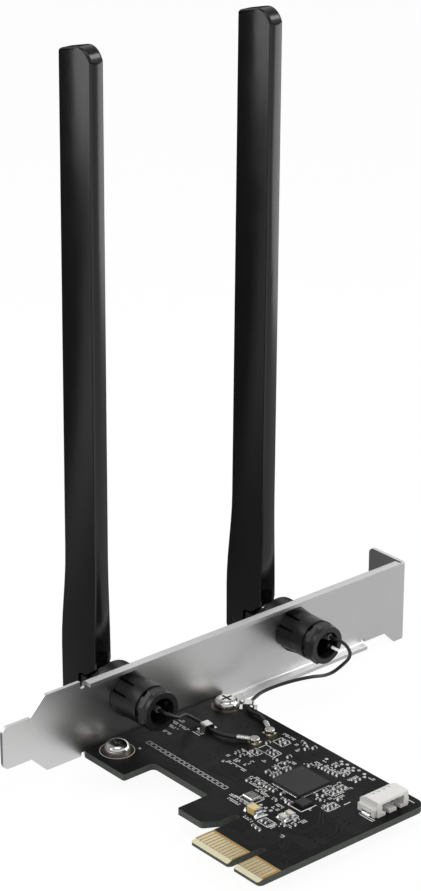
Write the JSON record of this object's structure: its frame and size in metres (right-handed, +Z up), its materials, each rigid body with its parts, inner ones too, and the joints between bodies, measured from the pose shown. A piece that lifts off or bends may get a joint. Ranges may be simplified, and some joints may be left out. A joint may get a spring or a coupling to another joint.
{
  "type": "wireless network expansion card",
  "caption": "Low-profile circuit board on a full-height folded slot bracket, with blade antennas that swivel in snap-in bushes and fold at a pin in their feet.",
  "frame": {"origin": "centre of the key notch on the edge connector's tip edge, half way through the board's thickness", "axes": "+X along the card edge away from the bracket, +Y from the connector's tip towards the screw tab, +Z up from the component side, along the raised antennas"},
  "size_m": [0.0876, 0.12, 0.1588],
  "materials": {
    "plated_steel": "bright plated, fine grain",
    "black_mask": "black solder mask, satin",
    "gold": "gold plated",
    "black_plastic": "fine moulded satin",
    "chip_black": "moulded package",
    "bright_metal": "plated, bright",
    "white_plastic": "moulded white",
    "tan_ceramic": "ceramic body with tinned ends",
    "lead_jacket": "smooth thin jacket",
    "sleeve_grey": "shrunk sleeve",
    "copper": "thin copper strip"
  },
  "bodies": {
    "card": {"bracket": "plated_steel", "circuit_board": "black_mask", "edge_contacts": "gold", "board_screws": "bright_metal", "wifi_chip": "chip_black", "regulator_chip": "chip_black", "crystal_can": "bright_metal", "storage_capacitor": "tan_ceramic", "filter_capacitors": "tan_ceramic", "ceramic_capacitors": "tan_ceramic", "rf_passives": "tan_ceramic", "header_housing": "white_plastic", "header_pins": "bright_metal", "header_anchors": "bright_metal", "left_snap_bush": "black_plastic", "left_coax_lead": "lead_jacket", "left_lead_sleeve": "sleeve_grey", "left_lead_clip": "bright_metal", "left_coax_socket": "gold", "left_coax_plug": "bright_metal", "right_snap_bush": "black_plastic", "right_coax_lead": "lead_jacket", "right_lead_sleeve": "sleeve_grey", "right_lead_clip": "bright_metal", "right_coax_socket": "gold", "right_coax_plug": "bright_metal"},
    "left_swivel": {"left_swivel_base": "black_plastic"},
    "left_antenna": {"left_antenna_casing": "black_plastic", "left_radiator": "copper", "left_feed_lead": "lead_jacket", "left_hinge_pin": "bright_metal"},
    "right_swivel": {"right_swivel_base": "black_plastic"},
    "right_antenna": {"right_antenna_casing": "black_plastic", "right_radiator": "copper", "right_feed_lead": "lead_jacket", "right_hinge_pin": "bright_metal"}
  },
  "joints": [
    {"name": "left_swivel_turn", "type": "hinge", "parent": "card", "child": "left_swivel", "pos_m": [-0.05715, 0.0195, 0.01031], "axis": [1, 0, 0], "range_deg": [-8, 90]},
    {"name": "left_antenna_fold", "type": "hinge", "parent": "left_swivel", "child": "left_antenna", "pos_m": [-0.07551, 0.0195, 0.00632], "axis": [0, -1, 0], "range_deg": [0, 90]},
    {"name": "right_swivel_turn", "type": "hinge", "parent": "card", "child": "right_swivel", "pos_m": [-0.05715, 0.06845, 0.01031], "axis": [1, 0, 0], "range_deg": [-70, 8]},
    {"name": "right_antenna_fold", "type": "hinge", "parent": "right_swivel", "child": "right_antenna", "pos_m": [-0.07551, 0.06845, 0.00632], "axis": [0, -1, 0], "range_deg": [0, 90]}
  ]
}
